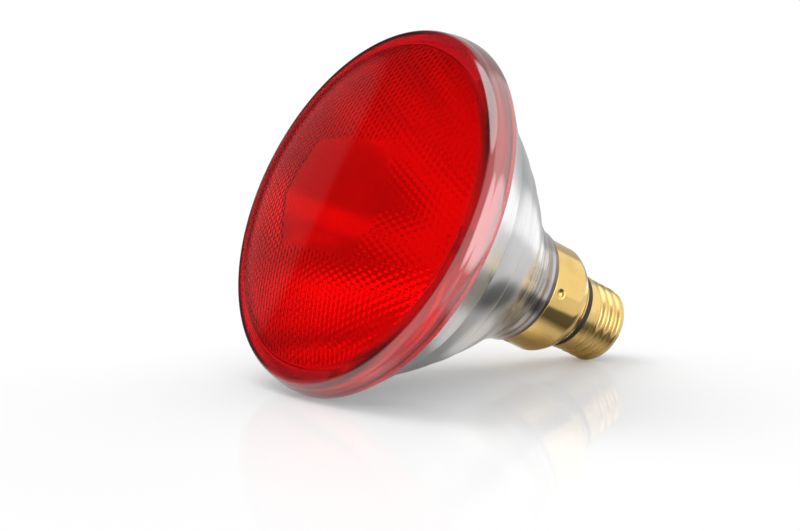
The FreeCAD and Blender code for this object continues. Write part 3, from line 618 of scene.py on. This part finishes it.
def shellPiece():
    # thread: r = crest - depth * (1 + cos(turns)) / 2, where turns counts pitches from the groove,
    # less one for each turn about the axis; it fades out at the rounded end and at the collar
    end, top, crest, bend = (shellSizes[key] for key in ("end", "top", "crest", "endRound"))
    height = np.concatenate([end + bend * (1 - np.cos(np.linspace(0, math.pi / 2, 7))),
                             np.linspace(end + bend, shellSizes["collarLow"], 96)[1:],
                             np.linspace(shellSizes["collarLow"], top - 0.2, 9)[1:], [top - 0.05, top]])
    below = np.clip(end + bend - height, 0, bend)
    base = crest - bend + np.sqrt(bend ** 2 - below ** 2)
    rise = np.clip((height - shellSizes["collarLow"]) / 0.35, 0, 1)
    base = base + (shellSizes["collar"] - crest) * rise * rise * (3 - 2 * rise)
    base[-1] -= 0.15
    angle = np.arange(shellSizes["around"]) * 2 * math.pi / shellSizes["around"]
    turns = (height[:, None] - shellSizes["grooveAt"]) / shellSizes["pitch"] - angle[None, :] / (2 * math.pi)
    upper = np.clip((shellSizes["collarLow"] - height) / shellSizes["runOut"], 0, 1)
    lower = np.clip((height - end - 0.3) / 1.2, 0, 1)
    fade = (upper * upper * (3 - 2 * upper) * lower * lower * (3 - 2 * lower))[:, None]
    outer = base[:, None] - shellSizes["depth"] * fade * (0.5 + 0.5 * np.cos(2 * math.pi * turns)) ** 1.15
    innerHeight = np.linspace(top, end, 12)
    inner = np.full((12, shellSizes["around"]), shellSizes["bore"])
    r = np.concatenate([outer, inner])
    z = np.concatenate([height, innerHeight])[:, None] + 0 * angle
    grid = np.stack([r * np.cos(angle), r * np.sin(angle), z], -1)
    faces = gridFaces(len(r), shellSizes["around"], True)
    return newPiece("screwShell", grid.reshape(-1, 3), faces, [], 45.0)


dress(shellPiece(), [threadBrass], ["screw_shell"])

capSizes = {"stemHole": 0.8, "noseRadius": 6.2, "noseHeight": 1.6, "noseGap": 0.02, "shellEnd": 6.0,
            "radius": 11.85, "top": 11.5, "bow": 26.3, "contactRadius": 4.8, "contactRound": 0.7,
            "stem": (0.75, 4.0)}


def insulatorPiece():
    # plug with a bowed cone below the shell, turned about the axis
    radius, hole = capSizes["radius"], capSizes["stemHole"]
    nose, low, top = capSizes["noseRadius"], capSizes["noseHeight"] + capSizes["noseGap"], capSizes["top"]
    cone = arcPath((radius, capSizes["shellEnd"]), (nose, low), capSizes["bow"], 1, 20)
    path = chain(cone, linePath((nose, low), (hole, low), 4), linePath((hole, low), (hole, top), 4),
                 linePath((hole, top), (radius, top), 4),
                 linePath((radius, top), (radius, capSizes["shellEnd"]), 4))
    return turnedPiece("capGlass", path[:-1], 200)


def contactPiece():
    # disc with a rounded edge and a stem, turned about the axis
    bow = capSizes["contactRound"]
    face = linePath((0, 0), (capSizes["contactRadius"] - bow, 0), 6)
    rim = arcPath((capSizes["contactRadius"] - bow, 0), (capSizes["contactRadius"], bow), bow, -1, 8)
    stemRadius, stemTop = capSizes["stem"]
    nose = capSizes["noseHeight"]
    back = linePath((capSizes["contactRadius"], nose), (stemRadius, nose), 4)
    stem = linePath((stemRadius, stemTop), (0, stemTop), 2)
    return turnedPiece("contactDisc", chain(face, rim, back, stem), 160, loop=False)


dress(insulatorPiece(), [darkGlass], ["cap_insulator"])
dress(contactPiece(), [solder], ["centre_contact"])
print("cap ready")

coilSizes = {"ring": 9.0, "height": 67.1, "coil": 0.62, "wire": 0.12, "turns": 46, "stepsPerTurn": 14,
             "section": 8}


def coilPiece():
    # a helix about a half ring: the ring angle runs from -90 to 90 degrees while the coil angle turns;
    # a small circle square to the helix is carried along it
    steps = coilSizes["turns"] * coilSizes["stepsPerTurn"]
    share = np.linspace(0, 1, steps + 1)
    ringAngle = (share - 0.5) * math.pi
    coilAngle = share * coilSizes["turns"] * 2 * math.pi
    reach = coilSizes["ring"] + coilSizes["coil"] * np.cos(coilAngle)
    path = np.stack([reach * np.cos(ringAngle), reach * np.sin(ringAngle),
                     coilSizes["height"] + coilSizes["coil"] * np.sin(coilAngle)], -1)
    along = np.gradient(path, axis=0)
    along /= np.linalg.norm(along, axis=1)[:, None]
    middle = np.stack([coilSizes["ring"] * np.cos(ringAngle), coilSizes["ring"] * np.sin(ringAngle),
                       np.full(steps + 1, coilSizes["height"])], -1)
    outward = path - middle
    outward -= along * np.einsum("ij,ij->i", outward, along)[:, None]
    outward /= np.linalg.norm(outward, axis=1)[:, None]
    across = np.cross(along, outward)
    angle = np.arange(coilSizes["section"]) * 2 * math.pi / coilSizes["section"]
    grid = path[:, None] + coilSizes["wire"] * (outward[:, None] * np.cos(angle)[None, :, None]
                                               + across[:, None] * np.sin(angle)[None, :, None])
    count = (steps + 1) * coilSizes["section"]
    points = np.concatenate([grid.reshape(-1, 3), path[:1], path[-1:]])
    firstRing = np.arange(coilSizes["section"])
    fans = [poleFan(firstRing, count, True),
            poleFan(firstRing + steps * coilSizes["section"], count + 1, False)]
    return newPiece("filamentCoil", points, gridFaces(steps + 1, coilSizes["section"]), np.concatenate(fans))


dress(coilPiece(), [tungsten], ["filament"])

# CAD nodes that keep their own shape take a finish by the slot in the record
nodeFinish = {"clear_glass": stub, "nickel_wire": nickel, "ferrule_metal": ferruleMetal}
slotOfNode = {row["node"]: row["material_slot"] for row in frame["record"]["subparts"]}
replaced = {"lens", "reflector", "skirt", "insulating_ring", "screw_shell", "cap_insulator",
            "centre_contact", "filament"}
for nodeName, node in frame["nodes"].items():
    if nodeName in replaced:
        continue
    node.data.materials.clear()
    node.data.materials.append(nodeFinish[slotOfNode[nodeName]])
print("inner pieces ready")

studio = {"floorSize": 9.0, "floorSteps": 25, "floorWhite": (0.86, 0.86, 0.86, 1.0),
          "mirrorShare": 0.14, "mirrorRough": 0.05, "glow": 0.20, "whiteFrom": 0.085, "whiteTo": 0.25,
          "tableMiddle": (0.09, -0.04, 0.0), "tableFrom": 0.12, "tableTo": 0.19, "ambient": 0.86,
          "bounced": 0.15, "through": 0.98, "skylight": 0.8, "room": 0.55, "dark": 0.04}
# painted spots on the table that only reflections meet, two of painted shadow (dull, rim) and one of painted
# light (pale): middle, turn, half size and strength
paintedTableSpots = {"dull": {"place": (0.040, -0.036, 0.0), "turn": 27.0, "size": (0.038, 0.014), "share": 0.85},
              "rim": {"place": (-0.054, -0.064, 0.0), "turn": 80.0, "size": (0.030, 0.016), "share": 0.85},
              "pale": {"place": (0.007, -0.015, 0.0), "turn": 0.0, "size": (0.017, 0.012), "share": 0.50}}
# walls that reflections meet: direction (azimuth, elevation), where it starts and is full, and level;
# the shade is the dark side of the room
studioWalls = [((75.0, -25.0), (0.883, 0.927), 1.4), ((125.0, 24.0), (0.55, 0.74), 1.1),
               ((172.0, 8.0), (0.83, 0.94), 2.3), ((180.0, 84.0), (0.86, 0.92), 1.8),
               ((-10.0, 15.0), (0.92, 0.957), 0.16)]
studioShade = ((-35.0, 28.0), (0.36, 0.60))
# gaps in the light behind glass: the same, and the share of light taken away
studioGaps = [((-175.0, 48.0), (0.866, 0.94), 0.62), ((-148.0, -16.0), (0.866, 0.914), 0.68)]
cameraLook = {"place": (-0.362537, -0.459962, 0.105515), "yaw": 0.63293, "pitch": -0.1178,
              "pixels": 1812.48, "width": 800.0, "sensor": 36.0}
keyLight = {"place": (-0.14, 0.30, 0.60), "aim": (0.0, 0.0, 0.04), "size": 0.42, "level": 2.4}


def pointing(azimuth, elevation):
    # unit direction: azimuth from the back (+Y) to the right (+X), elevation above the floor
    turn, rise = math.radians(azimuth), math.radians(elevation)
    return (math.sin(turn) * math.cos(rise), math.cos(turn) * math.cos(rise), math.sin(rise))


def rayKinds(tone):
    # 1 or 0 for rays that come from the camera, a reflection or a glass face, if no matte surface came
    # first, and for rays that leave a matte surface
    paths = tone.node("ShaderNodeLightPath", {}, {}).socket.node
    kind = {name: Tone(tone.tree, paths.outputs[name]) for name in
            ("Is Camera Ray", "Is Glossy Ray", "Is Transmission Ray", "Is Diffuse Ray", "Diffuse Depth")}
    direct = 1 - tone.sum("MINIMUM", kind["Diffuse Depth"], 1.0)
    return (kind["Is Camera Ray"], kind["Is Glossy Ray"] * direct, kind["Is Transmission Ray"] * direct,
            kind["Is Diffuse Ray"])


def buildFloor():
    # flat net, finer towards the middle: edge places are the cube of even steps
    count = studio["floorSteps"]
    steps = np.linspace(-1, 1, count) ** 3 * studio["floorSize"] / 2
    x, y = np.meshgrid(steps, steps, indexing="ij")
    points = np.stack([x, y, 0 * x], -1).reshape(-1, 3)
    net = np.arange(count ** 2).reshape(count, count)
    quads = np.stack([net[:-1, :-1], net[1:, :-1], net[1:, 1:], net[:-1, 1:]], -1).reshape(-1, 4)
    mesh = bpy.data.meshes.new("studioFloor")
    mesh.from_pydata(points.tolist(), [], quads.tolist())
    floor = bpy.data.objects.new("studioFloor", mesh)
    bpy.context.scene.collection.objects.link(floor)
    floor.data.materials.append(floorFinish())


def floorFinish():
    # a pale table with a faint mirror that the camera sees fade to white; reflections also meet painted
    # shadow and painted light on it; other rays meet only its middle
    material, tone = newFinish("studioFloorWhite")
    tree = material.node_tree
    place = tone.node("ShaderNodeTexCoord", {}, {}, "Object")
    camera, glossy = rayKinds(tone)[:2]

    def paintedSpot(name):
        # 1 on the painted spot, 0 away from it, soft between, for reflections alone
        look = paintedTableSpots[name]
        flat = tone.node("ShaderNodeMapping", {"vector_type": "TEXTURE"}, {
            "Vector": place, "Location": look["place"], "Rotation": (0.0, 0.0, math.radians(look["turn"])),
            "Scale": (*look["size"], 1.0)})
        away = tone.node("ShaderNodeVectorMath", {"operation": "LENGTH"}, {0: flat}, "Value")
        return (1 - away.between(0.6, 1.4)) * glossy * look["share"]

    def blend(share, first, second):
        return tone.node("ShaderNodeMixShader", {}, {0: share, 1: first, 2: second})

    setShader(material, {"Base Color": studio["floorWhite"], "Roughness": 0.9, "Specular IOR Level": 0.0})
    matte = Tone(tree, tree.nodes["Principled BSDF"].outputs[0])
    gloss = tone.node("ShaderNodeBsdfGlossy", {}, {"Roughness": studio["mirrorRough"], "Color": (1, 1, 1, 1)})
    white = tone.node("ShaderNodeEmission", {}, {"Strength": 1.0})
    unlit = tone.node("ShaderNodeEmission", {}, {"Strength": 0.0})
    shadowPaint = tone.node("ShaderNodeBsdfDiffuse", {}, {"Color": (0.02, 0.02, 0.02, 1.0)})
    clear = tone.node("ShaderNodeBsdfTransparent", {}, {})
    # painted light: the pale spot glows white under the lamp in reflections
    glow = blend(camera * studio["glow"] + paintedSpot("pale"), unlit, white)
    table = tone.node("ShaderNodeAddShader", {}, {0: blend(studio["mirrorShare"], matte, gloss), 1: glow})
    # painted shadow: the dull and rim spots turn the table dark in reflections
    shaded = blend(tone.sum("MAXIMUM", paintedSpot("dull"), paintedSpot("rim")), table, shadowPaint)
    distance = tone.node("ShaderNodeVectorMath", {"operation": "LENGTH"}, {0: place}, "Value")
    paled = blend(distance.between(studio["whiteFrom"], studio["whiteTo"]) * camera, shaded, white)
    reach = tone.node("ShaderNodeVectorMath", {"operation": "DISTANCE"},
                      {0: place, 1: studio["tableMiddle"]}, "Value")
    past = reach.between(studio["tableFrom"], studio["tableTo"]) * (1 - camera)
    tree.links.new(blend(past, paled, clear).socket, tree.nodes["Material Output"].inputs["Surface"])
    return material


def buildWorld():
    # white for the camera; reflections meet the bright walls, and glass shows a bright room with two gaps
    world = bpy.data.worlds.new("studioWorld")
    world.use_nodes = True
    world.cycles.sampling_method = "NONE"
    tree = world.node_tree
    tone = Tone(tree)
    direction = tone.node("ShaderNodeTexCoord", {}, {}, "Generated")

    def lobe(towards, edge):
        facing = tone.node("ShaderNodeVectorMath", {"operation": "DOT_PRODUCT"},
                           {0: direction, 1: pointing(*towards)}, "Value")
        return facing.between(*edge)

    camera, glossy, through, matteLit = rayKinds(tone)
    mirrored = studio["room"] - lobe(*studioShade) * (studio["room"] - studio["dark"])
    for towards, edge, strength in studioWalls:
        mirrored = tone.sum("MAXIMUM", lobe(towards, edge) * strength, mirrored)
    bright = studio["through"] + lobe((0.0, 90.0), (0.80, 0.95)) * studio["skylight"]
    for towards, edge, share in studioGaps:
        bright = bright * (1 - lobe(towards, edge) * share)
    # light that reaches a matte surface by way of metal or glass is kept low, so that shadows stay grey
    rest = tone.sum("MAXIMUM", 1 - camera - glossy - through - matteLit, 0.0)
    shown = tone.sum("MAXIMUM", camera, through * bright)
    seen = tone.sum("MAXIMUM", shown, glossy * mirrored)
    level = seen + matteLit * studio["ambient"] + rest * studio["bounced"]
    background = tree.nodes["Background"]
    background.inputs["Color"].default_value = (1, 1, 1, 1)
    tree.links.new(level.socket, background.inputs["Strength"])
    bpy.context.scene.world = world


def buildKeyLight():
    # a soft disc behind the lamp, for matte surfaces; metal and glass meet the walls of the world
    light = bpy.data.lights.new("softKey", "AREA")
    light.shape = "DISK"
    light.size = keyLight["size"]
    light.energy = keyLight["level"] * math.pi * math.pi * keyLight["size"] ** 2 / 4
    item = bpy.data.objects.new("softKey", light)
    bpy.context.scene.collection.objects.link(item)
    item.visible_camera = item.visible_glossy = item.visible_transmission = False
    item.location = keyLight["place"]
    away = np.array(keyLight["place"]) - np.array(keyLight["aim"])
    away /= np.linalg.norm(away)
    item.rotation_euler = (math.acos(away[2]), 0.0, math.atan2(away[1], away[0]) + math.pi / 2)


def buildCamera():
    lensData = bpy.data.cameras.new("photoCamera")
    lensData.sensor_fit = "HORIZONTAL"
    lensData.sensor_width = cameraLook["sensor"]
    lensData.lens = cameraLook["pixels"] / cameraLook["width"] * cameraLook["sensor"]
    lensData.clip_start, lensData.clip_end = 0.01, 50.0
    camera = bpy.data.objects.new("photoCamera", lensData)
    bpy.context.scene.collection.objects.link(camera)
    camera.location = cameraLook["place"]
    camera.rotation_euler = (math.pi / 2 + cameraLook["pitch"], 0.0, -cameraLook["yaw"])
    bpy.context.scene.camera = camera


buildFloor()
buildWorld()
buildKeyLight()
buildCamera()
bpy.context.scene.view_settings.view_transform = "Standard"
print("studio ready")
